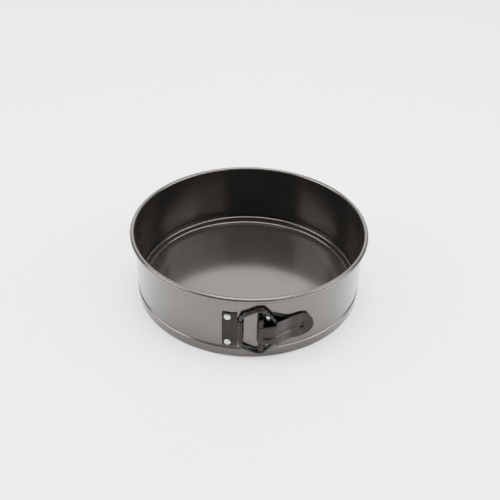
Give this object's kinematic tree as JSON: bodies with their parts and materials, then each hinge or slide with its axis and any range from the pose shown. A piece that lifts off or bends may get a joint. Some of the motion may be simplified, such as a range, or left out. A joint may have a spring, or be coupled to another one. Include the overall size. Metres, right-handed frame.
{
  "type": "springform_pan",
  "caption": "Dark non-stick springform baking pan with a sprung ring, a loose base disc and an over-centre lever latch",
  "frame": {"origin": "middle of the underside of the base disc, on the table", "axes": "+Z is the ring's axis and points up, -Y is the front where the latch is, +X is the right as seen from the front"},
  "size_m": [0.2398, 0.2436, 0.073],
  "materials": {
    "ring_coating": "satin",
    "base_coating": "satin",
    "plate_coating": "satin",
    "link_coating": "gloss",
    "bright_rivet": "polished"
  },
  "bodies": {
    "base": {"base_disc": "base_coating"},
    "ring_left": {"ring_left_half": "ring_coating", "catch_plate": "plate_coating", "catch_rivets": "bright_rivet"},
    "ring_right": {"ring_right_half": "ring_coating", "hinge_plate": "plate_coating", "hinge_rivets": "bright_rivet", "hinge_pin": "plate_coating"},
    "lever_body": {"lever": "plate_coating"},
    "link_body": {"link": "link_coating"}
  },
  "joints": [
    {"name": "ring_left_open", "type": "hinge", "parent": "base", "child": "ring_left", "pos_m": [0, 0.1154, 0.0341], "axis": [0, 0, -1], "range_deg": [0, 1]},
    {"name": "ring_right_open", "type": "hinge", "parent": "base", "child": "ring_right", "pos_m": [0, 0.1154, 0.0341], "axis": [0, 0, 1], "range_deg": [0, 1]},
    {"name": "lever_hinge", "type": "hinge", "parent": "ring_right", "child": "lever_body", "pos_m": [0.01264, -0.12114, 0.0341], "axis": [0, 0, -1], "range_deg": [0, 110]},
    {"name": "link_pivot", "type": "hinge", "parent": "ring_left", "child": "link_body", "pos_m": [-0.00575, -0.11841, 0.0341], "axis": [0, 0, -1], "range_deg": [0, 28.7]}
  ],
  "couplings": [
    {"joint": "link_pivot", "follows": "lever_hinge", "ratio": 0.26},
    {"joint": "ring_right_open", "follows": "lever_hinge", "ratio": 0.009027},
    {"joint": "ring_left_open", "follows": "lever_hinge", "ratio": 0.009027}
  ]
}
